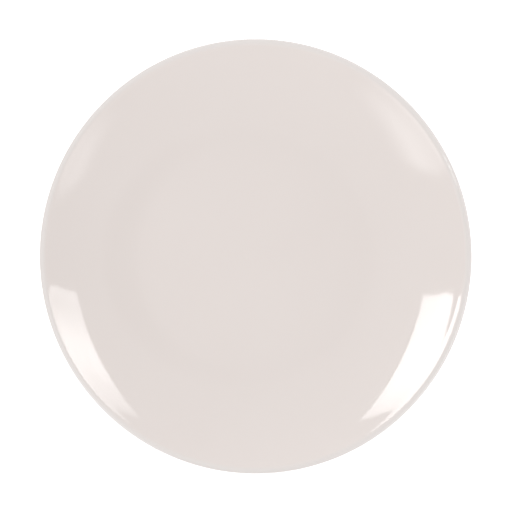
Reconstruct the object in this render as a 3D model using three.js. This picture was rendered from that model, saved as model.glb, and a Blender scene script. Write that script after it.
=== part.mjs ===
// A coupe dessert plate: a round clay body with a soft lip and a foot ring, and the two coats of glaze
// that cover it. The foot ring's resting face stays bare, and parts the two coats.
// Millimetres, +Z up. The origin is the centre of the circle that the plate rests on.

import * as THREE from 'three';

// Sizes of the glazed plate
const PLATE_DIAMETER = 200;
const PLATE_HEIGHT = 20;
const GLAZE_THICKNESS = 0.3;

// Sizes of the clay's bowl: its flat floor, and the two arcs that round its lip
const WELL_DIAMETER = 106;
const FLOOR_THICKNESS = 4.2;
const SHOULDER_RADIUS = 24;
const SHOULDER_SLOPE = THREE.MathUtils.degToRad(26);
const NOSE_RADIUS = 1.7;

// Sizes of the clay's foot ring
const FOOT_DIAMETER = 114;
const FOOT_FACE_WIDTH = 3;
const FOOT_HEIGHT = 2.6;
const FOOT_DRAFT = THREE.MathUtils.degToRad(18);
const FOOT_EDGE_RADIUS = 0.5;
const FOOT_ROOT_RADIUS = 1.1;

// Where the coats end on the foot ring, and how far from there they reach their full thickness
const GLAZE_LINE_HEIGHT = 1;
const GLAZE_EDGE_WIDTH = 0.8;

// Fineness of the meshes
const TURN_STEPS = 64;
const WALL_STEPS = 7;
const SHOULDER_STEPS = 2;
const NOSE_TOP_STEPS = 1;
const NOSE_FRONT_STEPS = 3;
const NOSE_UNDER_STEPS = 2;
const UNDERSIDE_STEPS = 6;
const FOOT_ROOT_STEPS = 2;
const FOOT_EDGE_STEPS = 2;
const GLAZE_EDGE_STEPS = 2;

const QUARTER_TURN = Math.PI / 2;
const SAME_PLACE = 1e-6;

const clayRadius = PLATE_DIAMETER / 2 - GLAZE_THICKNESS;
const clayTop = PLATE_HEIGHT - GLAZE_THICKNESS;
const floorTop = FOOT_HEIGHT + FLOOR_THICKNESS;
const footOuterRadius = FOOT_DIAMETER / 2;
const footInnerRadius = footOuterRadius - FOOT_FACE_WIDTH;

// A station is a point of the clay's outline, in radius and height, with the way out of the clay there.
function station(point, out) {
  return { point, out };
}

function between(a, b, share) {
  return station(a.point.clone().lerp(b.point, share), a.out.clone().lerp(b.out, share).normalize());
}

function points(run) {
  return run.map(({ point }) => point);
}

// Joins runs of stations end to end, and keeps one of the two stations where they meet.
function join(...runs) {
  return runs.flat().filter((here, index, all) => {
    return index === 0 || here.point.distanceTo(all[index - 1].point) > SAME_PLACE;
  });
}

// Stations along an arc. The clay lies inside the arc's circle, or outside it where the arc is hollow.
function arc(centre, radius, fromAngle, toAngle, steps, hollow = false) {
  const clockwise = toAngle < fromAngle;
  const curve = new THREE.EllipseCurve(centre.x, centre.y, radius, radius, fromAngle, toAngle, clockwise);
  return curve.getPoints(steps).map((point) => {
    const out = point.clone().sub(centre).normalize();
    return station(point, hollow ? out.negate() : out);
  });
}

// The circle that has its lowest point at a given place and touches another circle, and the angle at which it
// does. The other one lies outside it, or inside it where that one's radius is given as negative.
function circleFrom(lowest, touched, touchedRadius) {
  const run = touched.x - lowest.x;
  const rise = touched.y - lowest.y;
  const radius = (run * run + rise * rise - touchedRadius * touchedRadius) / (2 * (rise + touchedRadius));
  const centre = new THREE.Vector2(lowest.x, lowest.y + radius);
  return { centre, radius, touchAngle: Math.atan2(touched.y - centre.y, touched.x - centre.x) };
}

// One side of the foot ring from its root down to the resting face, at distances out from that face's edge
function footSide() {
  const rise = FOOT_HEIGHT - FOOT_ROOT_RADIUS - FOOT_EDGE_RADIUS;
  const radii = FOOT_ROOT_RADIUS + FOOT_EDGE_RADIUS;
  const reach = (radii + rise * Math.sin(FOOT_DRAFT)) / Math.cos(FOOT_DRAFT);
  const rootCentre = new THREE.Vector2(reach, FOOT_HEIGHT - FOOT_ROOT_RADIUS);
  const rootEnd = Math.PI - FOOT_DRAFT;
  const edgeCentre = new THREE.Vector2(0, FOOT_EDGE_RADIUS);
  return join(
    arc(rootCentre, FOOT_ROOT_RADIUS, QUARTER_TURN, rootEnd, FOOT_ROOT_STEPS, true),
    arc(edgeCentre, FOOT_EDGE_RADIUS, -FOOT_DRAFT, -QUARTER_TURN, FOOT_EDGE_STEPS),
  );
}

// A side of the foot ring in its place, outward from the resting face or inward from it
function placedFootSide(faceEdgeRadius, away) {
  return footSide().map(({ point, out }) => {
    const placed = new THREE.Vector2(faceEdgeRadius + away * point.x, point.y);
    return station(placed, new THREE.Vector2(away * out.x, out.y));
  });
}

// From the middle of the eating floor, up the wall and over the lip, down to the outer edge of the resting face
function outerRun() {
  const middle = station(new THREE.Vector2(0, floorTop), new THREE.Vector2(0, 1));
  const side = placedFootSide(footOuterRadius, 1);
  const wellEdge = new THREE.Vector2(WELL_DIAMETER / 2, floorTop);
  const noseCentre = new THREE.Vector2(clayRadius - NOSE_RADIUS, clayTop - NOSE_RADIUS);
  const underside = circleFrom(side[0].point, noseCentre, -NOSE_RADIUS);

  // The shoulder can't start steeper than a wall that runs straight into the nose.
  const plainWallSlope = circleFrom(wellEdge, noseCentre, NOSE_RADIUS).touchAngle + QUARTER_TURN;
  const shoulderEnd = QUARTER_TURN + Math.min(SHOULDER_SLOPE, plainWallSlope);
  const shoulderWay = new THREE.Vector2(Math.cos(shoulderEnd), Math.sin(shoulderEnd));
  const shoulderCentre = noseCentre.clone().addScaledVector(shoulderWay, NOSE_RADIUS - SHOULDER_RADIUS);
  const wall = circleFrom(wellEdge, shoulderCentre, SHOULDER_RADIUS);
  const shoulderStart = wall.touchAngle + Math.PI;

  return join(
    [middle],
    arc(wall.centre, wall.radius, -QUARTER_TURN, wall.touchAngle, WALL_STEPS, true),
    arc(shoulderCentre, SHOULDER_RADIUS, shoulderStart, shoulderEnd, SHOULDER_STEPS),
    arc(noseCentre, NOSE_RADIUS, shoulderEnd, QUARTER_TURN, NOSE_TOP_STEPS),
    arc(noseCentre, NOSE_RADIUS, QUARTER_TURN, 0, NOSE_FRONT_STEPS),
    arc(noseCentre, NOSE_RADIUS, 0, underside.touchAngle, NOSE_UNDER_STEPS),
    arc(underside.centre, underside.radius, underside.touchAngle, -QUARTER_TURN, UNDERSIDE_STEPS),
    side,
  );
}

// From the middle of the recess inside the foot ring to the inner edge of the resting face
function innerRun() {
  const middle = station(new THREE.Vector2(0, FOOT_HEIGHT), new THREE.Vector2(0, -1));
  return join([middle], placedFootSide(footInnerRadius, -1));
}

// How far each station lies from the end of its run, along it
function distancesToEnd(run) {
  const distances = new Array(run.length).fill(0);
  for (let index = run.length - 2; index >= 0; index -= 1) {
    distances[index] = distances[index + 1] + run[index].point.distanceTo(run[index + 1].point);
  }
  return distances;
}

// The run with its last stretch divided anew, finer towards its end, where a coat of glaze rounds off
function withCoatEdge(run) {
  const distances = distancesToEnd(run);
  const kept = run.filter((here, index) => distances[index] > GLAZE_EDGE_WIDTH);
  const edge = [];
  for (let step = GLAZE_EDGE_STEPS; step > 0; step -= 1) {
    const wanted = GLAZE_EDGE_WIDTH * (1 - Math.cos((QUARTER_TURN * step) / GLAZE_EDGE_STEPS));
    const next = distances.findIndex((distance) => distance <= wanted);
    const share = (distances[next - 1] - wanted) / (distances[next - 1] - distances[next]);
    edge.push(between(run[next - 1], run[next], share));
  }
  return join(kept, edge, [run.at(-1)]);
}

// Parts a run at the glaze line, into what the glaze covers and what stays bare below it
function partAtGlazeLine(run) {
  const firstBare = run.findIndex(({ point }) => point.y < GLAZE_LINE_HEIGHT);
  const above = run[firstBare - 1];
  const below = run[firstBare];
  const share = (above.point.y - GLAZE_LINE_HEIGHT) / (above.point.y - below.point.y);
  const end = between(above, below, share);
  const glazed = withCoatEdge(join(run.slice(0, firstBare), [end]));
  return { glazed, bare: join([end], run.slice(firstBare)) };
}

// The outline of a coat over a run: out along the clay, and back along the glaze's own surface
function coatOutline(run) {
  const surface = distancesToEnd(run).map((distance, index) => {
    const short = Math.max(0, 1 - distance / GLAZE_EDGE_WIDTH);
    const thickness = GLAZE_THICKNESS * Math.sqrt(1 - short * short);
    return run[index].point.clone().addScaledVector(run[index].out, thickness);
  });
  return [...points(run), ...surface.slice(0, -1).toReversed()];
}

// A solid of revolution about the vertical axis
function turned(name, outline, material) {
  const solid = new THREE.Mesh(new THREE.LatheGeometry(outline, TURN_STEPS), material);
  solid.name = name;
  solid.rotation.x = QUARTER_TURN;
  return solid;
}

const bareClay = new THREE.MeshStandardMaterial({ color: 0xd8ccbc, roughness: 0.9, metalness: 0 });
const offWhiteGlaze = new THREE.MeshStandardMaterial({ color: 0xe5dcd8, roughness: 0.08, metalness: 0 });

const outer = partAtGlazeLine(outerRun());
const inner = partAtGlazeLine(innerRun());
const clayOutline = points(join(inner.glazed, inner.bare, outer.bare.toReversed(), outer.glazed.toReversed()));

const plate = new THREE.Group();
plate.add(
  turned('clay_body', clayOutline, bareClay),
  turned('outer_glaze', coatOutline(outer.glazed), offWhiteGlaze),
  turned('base_glaze', coatOutline(inner.glazed).toReversed(), offWhiteGlaze),
);

export default plate;
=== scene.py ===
# A coupe dessert plate in a warm off-white gloss glaze, seen from almost straight above on a white table.
# Metres, +Z up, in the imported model's own frame: the origin is where the plate's axis meets the table.

import math

import bpy
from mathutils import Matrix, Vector, noise


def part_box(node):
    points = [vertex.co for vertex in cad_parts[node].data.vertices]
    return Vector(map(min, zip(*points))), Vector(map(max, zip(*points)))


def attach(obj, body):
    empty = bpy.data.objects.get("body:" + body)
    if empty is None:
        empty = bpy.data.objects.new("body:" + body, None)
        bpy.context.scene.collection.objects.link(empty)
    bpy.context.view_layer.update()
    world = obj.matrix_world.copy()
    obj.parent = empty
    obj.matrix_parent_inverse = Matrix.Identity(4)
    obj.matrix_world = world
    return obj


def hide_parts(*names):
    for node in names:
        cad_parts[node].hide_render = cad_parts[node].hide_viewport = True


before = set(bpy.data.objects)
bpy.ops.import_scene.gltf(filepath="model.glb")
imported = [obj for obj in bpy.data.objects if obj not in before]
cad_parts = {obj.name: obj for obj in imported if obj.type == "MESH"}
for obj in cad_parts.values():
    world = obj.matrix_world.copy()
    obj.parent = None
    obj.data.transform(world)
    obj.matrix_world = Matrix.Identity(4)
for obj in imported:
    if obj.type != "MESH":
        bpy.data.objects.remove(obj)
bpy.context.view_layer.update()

MM = 0.001
QUARTER_TURN = math.pi / 2
SAME_PLACE = 1e-7

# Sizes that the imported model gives
_, OUTER_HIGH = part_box("outer_glaze")
BASE_LOW, BASE_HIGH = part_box("base_glaze")
_, CLAY_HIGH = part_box("clay_body")
PLATE_RADIUS = OUTER_HIGH.x
PLATE_TOP = OUTER_HIGH.z
CLAY_RADIUS = CLAY_HIGH.x
CLAY_TOP = CLAY_HIGH.z
GLAZE_THICKNESS = PLATE_TOP - CLAY_TOP
GLAZE_LINE_HEIGHT = BASE_LOW.z
FOOT_HEIGHT = BASE_HIGH.z

# Sizes of the clay's outline, and the width over which a coat of glaze thins out to its edge
WELL_RADIUS = 53 * MM
FLOOR_THICKNESS = 4.2 * MM
FLOOR_TOP = FOOT_HEIGHT + FLOOR_THICKNESS
SHOULDER_RADIUS = 24 * MM
SHOULDER_SLOPE = math.radians(26)
NOSE_RADIUS = 1.7 * MM
FOOT_OUTER_RADIUS = 57 * MM
FOOT_INNER_RADIUS = 54 * MM
FOOT_DRAFT = math.radians(18)
FOOT_EDGE_RADIUS = 0.5 * MM
FOOT_ROOT_RADIUS = 1.1 * MM
GLAZE_EDGE_WIDTH = 0.8 * MM

# Fineness of the meshes
TURN_STEPS = 288
WALL_STEPS = 44
SHOULDER_STEPS = 8
NOSE_STEPS = 20
UNDERSIDE_STEPS = 36
FOOT_ROOT_STEPS = 6
FOOT_EDGE_STEPS = 4
GLAZE_EDGE_STEPS = 6
FLAT_STEP = 2 * MM

# How far the fired glaze's surface wanders from a true curve, and over what lengths
LONG_WAVE = 34 * MM
LONG_WAVE_HEIGHT = 0.035 * MM
SHORT_WAVE = 13 * MM
SHORT_WAVE_HEIGHT = 0.009 * MM


# Outlines, in radius and height


# A station is a point of the clay's outline and the way out of the clay there. This run of them is level.
def flat(from_radius, to_radius, height, out):
    steps = max(1, round(abs(to_radius - from_radius) / FLAT_STEP))
    radii = [from_radius + (to_radius - from_radius) * i / steps for i in range(steps + 1)]
    return [(Vector((radius, height)), out.copy()) for radius in radii]


# Stations along an arc. The clay lies inside the arc's circle, or outside it where the arc is hollow.
def arc(centre, radius, from_angle, to_angle, steps, hollow=False):
    run = []
    for i in range(steps + 1):
        angle = from_angle + (to_angle - from_angle) * i / steps
        way = Vector((math.cos(angle), math.sin(angle)))
        run.append((centre + way * radius, -way if hollow else way))
    return run


# Joins runs end to end, and keeps one of the two stations where they meet
def join(*runs):
    joined = []
    for run in runs:
        for point, out in run:
            if not joined or (point - joined[-1][0]).length > SAME_PLACE:
                joined.append((point, out))
    return joined


# The station that lies a share of the way from one to another
def between(a, b, share):
    return a[0].lerp(b[0], share), a[1].lerp(b[1], share).normalized()


# The circle with its lowest point at a given place that touches another circle, and the angle where it does.
# The other one lies outside it, or inside it where that one's radius is negative.
def circle_from(lowest, touched, touched_radius):
    run = touched.x - lowest.x
    rise = touched.y - lowest.y
    radius = (run * run + rise * rise - touched_radius * touched_radius) / (2 * (rise + touched_radius))
    centre = lowest + Vector((0, radius))
    return centre, radius, math.atan2(touched.y - centre.y, touched.x - centre.x)


# One side of the foot ring from its root down to the edge of the resting face. It stands away from that face,
# outward where away is 1 and inward where it is -1.
def foot_side(face_edge_radius, away):
    rise = FOOT_HEIGHT - FOOT_ROOT_RADIUS - FOOT_EDGE_RADIUS
    radii = FOOT_ROOT_RADIUS + FOOT_EDGE_RADIUS
    reach = (radii + rise * math.sin(FOOT_DRAFT)) / math.cos(FOOT_DRAFT)
    root_centre = Vector((reach, FOOT_HEIGHT - FOOT_ROOT_RADIUS))
    root_end = math.pi - FOOT_DRAFT
    edge_centre = Vector((0, FOOT_EDGE_RADIUS))
    side = join(
        arc(root_centre, FOOT_ROOT_RADIUS, QUARTER_TURN, root_end, FOOT_ROOT_STEPS, hollow=True),
        arc(edge_centre, FOOT_EDGE_RADIUS, -FOOT_DRAFT, -QUARTER_TURN, FOOT_EDGE_STEPS),
    )
    return [(Vector((face_edge_radius + away * p.x, p.y)), Vector((away * o.x, o.y))) for p, o in side]


# From the middle of the eating floor, up the wall, over the lip and down to the resting face's outer edge
def outer_run():
    side = foot_side(FOOT_OUTER_RADIUS, 1)
    well_edge = Vector((WELL_RADIUS, FLOOR_TOP))
    nose_centre = Vector((CLAY_RADIUS - NOSE_RADIUS, CLAY_TOP - NOSE_RADIUS))
    shoulder_end = QUARTER_TURN + SHOULDER_SLOPE
    shoulder_way = Vector((math.cos(shoulder_end), math.sin(shoulder_end)))
    shoulder_centre = nose_centre + shoulder_way * (NOSE_RADIUS - SHOULDER_RADIUS)
    wall_centre, wall_radius, wall_end = circle_from(well_edge, shoulder_centre, SHOULDER_RADIUS)
    under_centre, under_radius, under_start = circle_from(side[0][0], nose_centre, -NOSE_RADIUS)
    return join(
        flat(0, WELL_RADIUS, FLOOR_TOP, Vector((0, 1))),
        arc(wall_centre, wall_radius, -QUARTER_TURN, wall_end, WALL_STEPS, hollow=True),
        arc(shoulder_centre, SHOULDER_RADIUS, wall_end + math.pi, shoulder_end, SHOULDER_STEPS),
        arc(nose_centre, NOSE_RADIUS, shoulder_end, under_start, NOSE_STEPS),
        arc(under_centre, under_radius, under_start, -QUARTER_TURN, UNDERSIDE_STEPS),
        side,
    )


# From the middle of the recess inside the foot ring to the resting face's inner edge
def inner_run():
    side = foot_side(FOOT_INNER_RADIUS, -1)
    return join(flat(0, side[0][0].x, FOOT_HEIGHT, Vector((0, -1))), side)


# How far each station lies from the end of its run, along it
def distances_to_end(run):
    distances = [0.0]
    for here, after in zip(run[-2::-1], run[:0:-1]):
        distances.append(distances[-1] + (here[0] - after[0]).length)
    return distances[::-1]


# The run with its last stretch divided anew, finer towards its end, where a coat of glaze rounds off
def with_coat_edge(run):
    distances = distances_to_end(run)
    kept = [here for here, distance in zip(run, distances) if distance > GLAZE_EDGE_WIDTH]
    edge = []
    for step in range(GLAZE_EDGE_STEPS, 0, -1):
        wanted = GLAZE_EDGE_WIDTH * (1 - math.cos(QUARTER_TURN * step / GLAZE_EDGE_STEPS))
        after = next(i for i, distance in enumerate(distances) if distance <= wanted)
        share = (distances[after - 1] - wanted) / (distances[after - 1] - distances[after])
        edge.append(between(run[after - 1], run[after], share))
    return join(kept, edge, run[-1:])


# Parts a run at the glaze line, into what the glaze covers and what stays bare below it
def part_at_glaze_line(run):
    below = next(i for i, (point, _) in enumerate(run) if point.y < GLAZE_LINE_HEIGHT)
    upper = run[below - 1][0].y
    lower = run[below][0].y
    end = between(run[below - 1], run[below], (upper - GLAZE_LINE_HEIGHT) / (upper - lower))
    return with_coat_edge(join(run[:below], [end])), join([end], run[below:])


# The glaze's own surface over a run, down to nothing at the run's end
def coat_surface(run):
    surface = []
    for (point, out), distance in zip(run, distances_to_end(run)):
        short = max(0.0, 1 - distance / GLAZE_EDGE_WIDTH)
        surface.append((point + out * (GLAZE_THICKNESS * math.sqrt(1 - short * short)), out))
    return surface


# Meshes


def mesh_object(name, vertices, faces):
    mesh = bpy.data.meshes.new(name)
    mesh.from_pydata(vertices, [], faces)
    made = bpy.data.objects.new(name, mesh)
    bpy.context.collection.objects.link(made)
    return made


# How far the glaze's surface lies out from its true curve at a spot
def surface_wave(spot):
    long_wave = LONG_WAVE_HEIGHT * noise.noise(spot / LONG_WAVE)
    short_wave = SHORT_WAVE_HEIGHT * noise.noise(spot / SHORT_WAVE)
    return long_wave + short_wave


# Turns an outline of stations about the vertical axis. The waved stations, given by number, wander as the
# glaze's surface does.
def turned(name, outline, waved_stations=range(0)):
    vertices = []
    rings = []
    for index, (point, out) in enumerate(outline):
        on_axis = abs(point.x) < SAME_PLACE
        ring = []
        for step in range(1 if on_axis else TURN_STEPS):
            angle = 2 * math.pi * step / TURN_STEPS
            round_way = Vector((math.cos(angle), math.sin(angle), 0))
            spot = round_way * point.x + Vector((0, 0, point.y))
            if index in waved_stations:
                way = round_way * out.x + Vector((0, 0, out.y))
                spot += way * surface_wave(spot)
            ring.append(len(vertices))
            vertices.append(spot)
        rings.append(ring)
    faces = []
    for lower, upper in zip(rings, rings[1:]):
        for step in range(TURN_STEPS):
            after = (step + 1) % TURN_STEPS
            corners = [lower[step % len(lower)], lower[after % len(lower)]]
            corners += [upper[after % len(upper)], upper[step % len(upper)]]
            # A ring on the axis is one point, so a face there has a corner twice and becomes a triangle.
            faces.append(list(dict.fromkeys(corners)))
    piece = mesh_object(name, vertices, faces)
    piece.data.shade_smooth()
    return piece


# Materials

WHITE = (1, 1, 1, 1)

# Sockets of a node that mixes colours, by number, because its sockets for other kinds have the same names
MIX_SHARE = 0
MIX_FIRST = 6
MIX_SECOND = 7
MIX_RESULT = 2


def new_material(name):
    material = bpy.data.materials.new(name)
    material.use_nodes = True
    tree = material.node_tree
    return material, tree, tree.nodes["Principled BSDF"]


# A new node, with values for its sockets or its settings by name
def add_node(tree, kind, **values):
    made = tree.nodes.new(kind)
    for key, value in values.items():
        if key in made.inputs:
            made.inputs[key].default_value = value
        else:
            setattr(made, key, value)
    return made


# Noise over a place, as a share that varies
def noise_over(tree, place, scale, detail, roughness):
    texture = add_node(tree, "ShaderNodeTexNoise", Scale=scale, Detail=detail, Roughness=roughness)
    tree.links.new(place, texture.inputs["Vector"])
    return texture.outputs["Fac"]


# Two colours, mixed by a share that varies
def mixed_colours(tree, share, first, second):
    mix = add_node(tree, "ShaderNodeMix", data_type="RGBA")
    mix.inputs[MIX_FIRST].default_value = first
    mix.inputs[MIX_SECOND].default_value = second
    tree.links.new(share, mix.inputs[MIX_SHARE])
    return mix.outputs[MIX_RESULT]


def roughen(tree, shader, height, strength, depth):
    bump = add_node(tree, "ShaderNodeBump", Strength=strength, Distance=depth)
    tree.links.new(height, bump.inputs["Height"])
    tree.links.new(bump.outputs["Normal"], shader.inputs["Normal"])


GLAZE_COLOUR = (0.777, 0.710, 0.678, 1)
GLAZE_COLOUR_PALE = (0.793, 0.728, 0.698, 1)
GLAZE_ROUGHNESS = 0.06
GLAZE_IOR = 1.5
CLOUD_SCALE = 22
CLOUD_DETAIL = 3
CLOUD_ROUGHNESS = 0.55
PEEL_SCALE = 420
PEEL_DETAIL = 2
PEEL_ROUGHNESS = 0.5
PEEL_STRENGTH = 0.06
PEEL_DEPTH = 0.1 * MM
# The lip's colour is partly thin glaze and partly a painted reflection of the pale surroundings.
LIP_THIN_GLAZE_AND_REFLECTION_COLOUR = (0.782, 0.735, 0.712, 1)
LIP_GLAZE_AND_REFLECTION_START = 96.5 * MM
LIP_GLAZE_AND_REFLECTION_END = 98.5 * MM
LEVEL_PARTS = (1, 1, 0)


# How far out a place is towards the lip, where the glaze runs thin and turns greyer, and where a painted
# reflection of the pale surroundings makes the lip paler and greyer as well
def lip_glaze_and_reflection_share(tree, place):
    link = tree.links.new
    level = add_node(tree, "ShaderNodeVectorMath", operation="MULTIPLY")
    level.inputs[1].default_value = LEVEL_PARTS
    radius = add_node(tree, "ShaderNodeVectorMath", operation="LENGTH")
    share = add_node(tree, "ShaderNodeMapRange", interpolation_type="SMOOTHSTEP")
    share.inputs["From Min"].default_value = LIP_GLAZE_AND_REFLECTION_START
    share.inputs["From Max"].default_value = LIP_GLAZE_AND_REFLECTION_END
    link(place, level.inputs[0])
    link(level.outputs["Vector"], radius.inputs[0])
    link(radius.outputs["Value"], share.inputs["Value"])
    return share.outputs["Result"]


# Gloss glaze with faint clouds of colour, a fine unevenness, and a paler, greyer lip that is partly thin
# glaze and partly painted reflection
def glaze_material():
    material, tree, shader = new_material("off_white_glaze")
    link = tree.links.new
    place = add_node(tree, "ShaderNodeTexCoord").outputs["Object"]
    clouds = noise_over(tree, place, CLOUD_SCALE, CLOUD_DETAIL, CLOUD_ROUGHNESS)
    peel = noise_over(tree, place, PEEL_SCALE, PEEL_DETAIL, PEEL_ROUGHNESS)
    tint = mixed_colours(tree, clouds, GLAZE_COLOUR, GLAZE_COLOUR_PALE)
    # Paler, greyer lip: partly thin glaze, partly painted reflection of the pale surroundings
    lip_glaze_and_reflection_tint = add_node(tree, "ShaderNodeMix", data_type="RGBA")
    lip_glaze_and_reflection_tint.inputs[MIX_SECOND].default_value = LIP_THIN_GLAZE_AND_REFLECTION_COLOUR
    link(lip_glaze_and_reflection_share(tree, place), lip_glaze_and_reflection_tint.inputs[MIX_SHARE])
    link(tint, lip_glaze_and_reflection_tint.inputs[MIX_FIRST])
    link(lip_glaze_and_reflection_tint.outputs[MIX_RESULT], shader.inputs["Base Color"])
    roughen(tree, shader, peel, PEEL_STRENGTH, PEEL_DEPTH)
    shader.inputs["Roughness"].default_value = GLAZE_ROUGHNESS
    shader.inputs["IOR"].default_value = GLAZE_IOR
    return material


CLAY_COLOUR = (0.62, 0.54, 0.45, 1)
CLAY_COLOUR_PALE = (0.74, 0.67, 0.58, 1)
CLAY_ROUGHNESS = 0.9
GRAIN_SCALE = 1800
GRAIN_DETAIL = 4
GRAIN_ROUGHNESS = 0.7
GRAIN_STRENGTH = 0.5
GRAIN_DEPTH = 0.1 * MM


# Bare clay with a fine grain
def clay_material():
    material, tree, shader = new_material("fired_clay")
    place = add_node(tree, "ShaderNodeTexCoord").outputs["Object"]
    grain = noise_over(tree, place, GRAIN_SCALE, GRAIN_DETAIL, GRAIN_ROUGHNESS)
    tint = mixed_colours(tree, grain, CLAY_COLOUR, CLAY_COLOUR_PALE)
    tree.links.new(tint, shader.inputs["Base Color"])
    roughen(tree, shader, grain, GRAIN_STRENGTH, GRAIN_DEPTH)
    shader.inputs["Roughness"].default_value = CLAY_ROUGHNESS
    return material


# The plate
outer_glazed, outer_bare = part_at_glaze_line(outer_run())
inner_glazed, inner_bare = part_at_glaze_line(inner_run())
glaze = glaze_material()
clay = clay_material()


# The fired clay, with no mark on its base
def body():
    outline = join(inner_glazed, inner_bare, outer_bare[::-1], outer_glazed[::-1])
    piece = turned("fired_body", outline)
    piece.data.materials.append(clay)
    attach(piece, "root")
    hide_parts("clay_body")


# A coat of glaze: out along the clay, and back along the glaze's own surface, which wanders. The outline of
# the coat inside the foot ring runs the other way, so that its faces look out of the glaze as well.
def coat(name, run, node, inward):
    outline = run + coat_surface(run)[-2::-1]
    waved_stations = range(len(run), len(outline))
    if inward:
        outline = outline[::-1]
        waved_stations = range(len(outline) - len(run))
    piece = turned(name, outline, waved_stations)
    piece.data.materials.append(glaze)
    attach(piece, "root")
    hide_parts(node)


body()
coat("outer_coat", outer_glazed, "outer_glaze", inward=False)
coat("base_coat", inner_glazed, "base_glaze", inward=True)

# The table. It shines to the eye and in reflections, and gives the plate only the light that falls on it.
FLOOR_SIZE = 16
FLOOR_GLOW = 0.6
FLOOR_COLOUR = (0.8, 0.8, 0.8, 1)
FLOOR_ROUGHNESS = 0.9


def table():
    half = FLOOR_SIZE / 2
    corners = [(-half, -half, 0), (half, -half, 0), (half, half, 0), (-half, half, 0)]
    top = mesh_object("table", corners, [(0, 1, 2, 3)])
    material, tree, shader = new_material("white_table")
    link = tree.links.new
    path = add_node(tree, "ShaderNodeLightPath")
    seen = add_node(tree, "ShaderNodeMath", operation="ADD")
    shown = add_node(tree, "ShaderNodeMath", operation="ADD")
    glow = add_node(tree, "ShaderNodeMath", operation="MULTIPLY")
    glow.inputs[1].default_value = FLOOR_GLOW
    link(path.outputs["Is Camera Ray"], seen.inputs[0])
    link(path.outputs["Is Glossy Ray"], seen.inputs[1])
    link(seen.outputs[0], shown.inputs[0])
    link(path.outputs["Is Transmission Ray"], shown.inputs[1])
    link(shown.outputs[0], glow.inputs[0])
    link(glow.outputs[0], shader.inputs["Emission Strength"])
    shader.inputs["Emission Color"].default_value = WHITE
    shader.inputs["Base Color"].default_value = FLOOR_COLOUR
    shader.inputs["Roughness"].default_value = FLOOR_ROUGHNESS
    top.data.materials.append(material)


table()

# Lamps: four flat panels that hang level round the table, and show only in reflections
LAMP_HEIGHT = 2.0
LAMP_COLUMNS = 32
LAMP_ROWS = 16
ROOM_GLOW = 1.0
NO_BULGE = (0.5, 0.5, 0)


# A smooth rise from 0 to 1 over a width
def soft_step(share, width):
    if share >= width:
        return 1.0
    part = share / width
    return part * part * (3 - 2 * part)


# Light as strong as the mesh's own glow at each of its points
def glow_material(name):
    material = bpy.data.materials.new(name)
    material.use_nodes = True
    tree = material.node_tree
    tree.nodes.clear()
    glow = add_node(tree, "ShaderNodeAttribute", attribute_name="glow")
    light = add_node(tree, "ShaderNodeEmission")
    end = add_node(tree, "ShaderNodeOutputMaterial")
    tree.links.new(glow.outputs["Fac"], light.inputs["Strength"])
    tree.links.new(light.outputs["Emission"], end.inputs["Surface"])
    return material


def reflected_panel(name, vertices, faces, glows):
    panel = mesh_object(name, vertices, faces)
    panel.data.attributes.new("glow", "FLOAT", "POINT").data.foreach_set("value", glows)
    panel.data.materials.append(glow_material(name))
    panel.visible_camera = False
    panel.visible_diffuse = False
    panel.visible_shadow = False


# The faces of a grid whose points are numbered row by row, one column after the other
def grid_faces(columns, rows):
    faces = []
    for column in range(columns):
        for row in range(rows):
            first = column * (rows + 1) + row
            after = first + rows + 1
            faces.append((first, first + 1, after + 1, after))
    return faces


# The glow at a place along a panel, between stops that each give a place and the glow there
def glow_at(stops, along):
    for (start, start_glow), (end, end_glow) in zip(stops, stops[1:]):
        if along <= end:
            return start_glow + (end_glow - start_glow) * (along - start) / (end - start)
    return stops[-1][1]


# How far a lamp's near end reaches past the straight line between its corners
def near_bulge(bulge, across):
    middle, half_width, height = bulge
    return height * max(0.0, 1 - ((across - middle) / half_width) ** 2)


# A lamp has an inner edge towards the plate and an outer one away from it, and both run from its near end to
# its far end. Its glow fades to the room's over the soft shares of its width and length.
def lamp(
    name,
    inner,
    outer,
    inner_glows,
    outer_glows,
    soft_inner=0,
    soft_near=0,
    soft_far=0,
    bulge=NO_BULGE,
):
    vertices = []
    strengths = []
    for column in range(LAMP_COLUMNS + 1):
        for row in range(LAMP_ROWS + 1):
            across = row / LAMP_ROWS
            near = -near_bulge(bulge, across)
            along = near + (1 - near) * column / LAMP_COLUMNS
            inner_spot = Vector(inner[0]).lerp(Vector(inner[1]), along)
            outer_spot = Vector(outer[0]).lerp(Vector(outer[1]), along)
            spot = inner_spot.lerp(outer_spot, across)
            inner_glow = glow_at(inner_glows, along)
            outer_glow = glow_at(outer_glows, along)
            glow = inner_glow + (outer_glow - inner_glow) * across
            end_share = soft_step(along - near, soft_near) * soft_step(1 - along, soft_far)
            share = end_share * soft_step(across, soft_inner)
            vertices.append((spot.x, spot.y, LAMP_HEIGHT))
            strengths.append(ROOM_GLOW + (glow - ROOM_GLOW) * share)
    reflected_panel(name, vertices, grid_faces(LAMP_COLUMNS, LAMP_ROWS), strengths)


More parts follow.
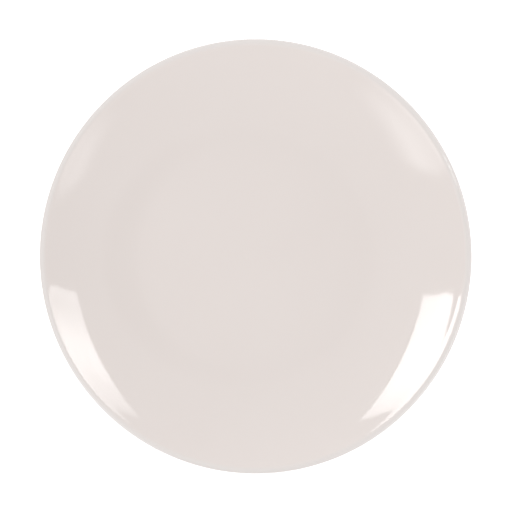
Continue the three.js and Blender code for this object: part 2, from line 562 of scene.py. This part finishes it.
lamp(
    "left_rear_lamp",
    inner=[(-1.59, 0.30), (-1.60, 1.91)],
    outer=[(-3.36, 0.565), (-3.75, 2.87)],
    inner_glows=[(0, 7.0), (0.3, 8.7), (0.6, 8.3), (0.8, 6.9), (1, 4.6)],
    outer_glows=[(0, 9.4), (0.6, 9.4), (1, 7.6)],
    bulge=(0.61, 0.23, 0.013),
)
lamp(
    "right_rear_lamp",
    inner=[(1.30, 0.315), (1.01, 1.955)],
    outer=[(2.60, 0.40), (2.60, 2.44)],
    inner_glows=[(0, 4.9), (0.1, 4.8), (0.35, 7.9), (0.5, 7.5), (0.65, 5.2), (0.9, 3.5), (1, 1.0)],
    outer_glows=[(0, 5.0), (0.1, 3.4), (0.35, 7.4), (0.5, 8.0), (0.65, 7.8), (0.9, 6.2), (1, 5.0)],
    bulge=(0.62, 0.18, 0.009),
)
lamp(
    "left_front_lamp",
    inner=[(-1.20, -0.58), (-1.26, -2.30)],
    outer=[(-3.40, -1.12), (-3.40, -3.70)],
    inner_glows=[(0, 4.2), (0.5, 4.3), (1, 4.0)],
    outer_glows=[(0, 2.2), (0.5, 2.6), (1, 2.4)],
    soft_inner=0.45,
    soft_near=0.1,
    soft_far=0.8,
)
lamp(
    "right_front_lamp",
    inner=[(1.22, -0.70), (1.02, -1.90)],
    outer=[(2.60, -0.60), (2.60, -2.90)],
    inner_glows=[(0, 3.0), (0.5, 3.2), (1, 3.0)],
    outer_glows=[(0, 1.6), (0.5, 1.6), (1, 2.0)],
    soft_inner=0.4,
    soft_near=0.15,
    soft_far=0.7,
)

# Card: a low ring round the plate, outside the picture, that shows in the lip. It has one gap. Its heights
# are its foot, the top of its low part, the foot of its high part, and its top.
CARD_RADIUS = 0.135
CARD_HEIGHTS = (0, 0.03, 0.04, 0.09)
CARD_COLUMNS = 96

# The low part's glow, by stops that give the degrees round from the right and the glow there
CARD_GLOWS = [(29, 1.9), (48, 1.2), (80, 0.9), (165, 0.65), (182, 0.45), (220, 1.55), (243, 0.75)]
CARD_GLOWS += [(251, 0.0), (272, 0.1), (286, 0.3), (318, 2.6), (345, 2.5), (360, 1.4), (380, 1.9)]
CARD_START = CARD_GLOWS[0][0]
CARD_END = CARD_GLOWS[-1][0]

# The high part is no brighter than the room, and keeps this share of the low part's darkness.
CARD_HIGH_SHARE = 0.5


def card():
    vertices = []
    strengths = []
    for column in range(CARD_COLUMNS + 1):
        degrees = CARD_START + (CARD_END - CARD_START) * column / CARD_COLUMNS
        angle = math.radians(degrees)
        spot = Vector((math.cos(angle), math.sin(angle))) * CARD_RADIUS
        low_glow = glow_at(CARD_GLOWS, degrees)
        high_glow = ROOM_GLOW + min(0, low_glow - ROOM_GLOW) * CARD_HIGH_SHARE
        vertices += [(spot.x, spot.y, height) for height in CARD_HEIGHTS]
        strengths += [low_glow, low_glow, high_glow, high_glow]
    reflected_panel("white_card", vertices, grid_faces(CARD_COLUMNS, len(CARD_HEIGHTS) - 1), strengths)


card()

# Light from all round: a soft room, paler to the front and rear and on the left, with one dim spot overhead
ROOM_LIGHT = 0.80
DEPTH_LIGHT = 0.50
SIDE_LIGHT = -0.09
DIM_SPOT_WAY = Vector((0.10, 0, 1)).normalized()
DIM_SPOT_REACH = math.cos(math.radians(14))
DIM_SPOT_HEART = math.cos(math.radians(3))
DIM_SPOT_SHARE = 0.5
FULL_SHARE = 1


def room_light():
    room = bpy.data.worlds.new("room")
    room.use_nodes = True
    tree = room.node_tree
    link = tree.links.new
    way = add_node(tree, "ShaderNodeTexCoord").outputs["Generated"]
    split = add_node(tree, "ShaderNodeSeparateXYZ")
    depth = add_node(tree, "ShaderNodeMath", operation="ABSOLUTE")
    ends = add_node(tree, "ShaderNodeMath", operation="MULTIPLY_ADD")
    ends.inputs[1].default_value = DEPTH_LIGHT
    ends.inputs[2].default_value = ROOM_LIGHT
    sides = add_node(tree, "ShaderNodeMath", operation="MULTIPLY_ADD")
    sides.inputs[1].default_value = SIDE_LIGHT
    near_spot = add_node(tree, "ShaderNodeVectorMath", operation="DOT_PRODUCT")
    near_spot.inputs[1].default_value = DIM_SPOT_WAY
    spot = add_node(tree, "ShaderNodeMapRange", interpolation_type="SMOOTHSTEP")
    spot.inputs["From Min"].default_value = DIM_SPOT_REACH
    spot.inputs["From Max"].default_value = DIM_SPOT_HEART
    spot.inputs["To Min"].default_value = FULL_SHARE
    spot.inputs["To Max"].default_value = DIM_SPOT_SHARE
    light = add_node(tree, "ShaderNodeMath", operation="MULTIPLY")
    link(way, split.inputs[0])
    link(way, near_spot.inputs[0])
    link(split.outputs["Y"], depth.inputs[0])
    link(depth.outputs[0], ends.inputs[0])
    link(split.outputs["X"], sides.inputs[0])
    link(ends.outputs[0], sides.inputs[2])
    link(near_spot.outputs["Value"], spot.inputs["Value"])
    link(sides.outputs[0], light.inputs[0])
    link(spot.outputs["Result"], light.inputs[1])
    link(light.outputs[0], tree.nodes["Background"].inputs["Strength"])
    tree.nodes["Background"].inputs["Color"].default_value = WHITE
    bpy.context.scene.world = room


room_light()

# Camera: a little to the right of straight above. The lens follows from the plate's size in the picture.
PICTURE_WIDTH = 512
PLATE_RADIUS_PIXELS = 217.35
CAMERA_DISTANCE = 1.2
CAMERA_LEAN = math.radians(6.4)
SENSOR_WIDTH = 36
AIM = Vector((0.00110, 0.00107, 0.0183))

lens = bpy.data.cameras.new("camera")
lens.sensor_width = SENSOR_WIDTH
lens.lens = SENSOR_WIDTH * CAMERA_DISTANCE * PLATE_RADIUS_PIXELS / (PLATE_RADIUS * PICTURE_WIDTH)
camera = bpy.data.objects.new("camera", lens)
bpy.context.collection.objects.link(camera)
camera.location = AIM + CAMERA_DISTANCE * Vector((math.sin(CAMERA_LEAN), 0, math.cos(CAMERA_LEAN)))
camera.rotation_euler = (0, CAMERA_LEAN, 0)
bpy.context.scene.camera = camera
bpy.context.scene.view_settings.view_transform = "Standard"
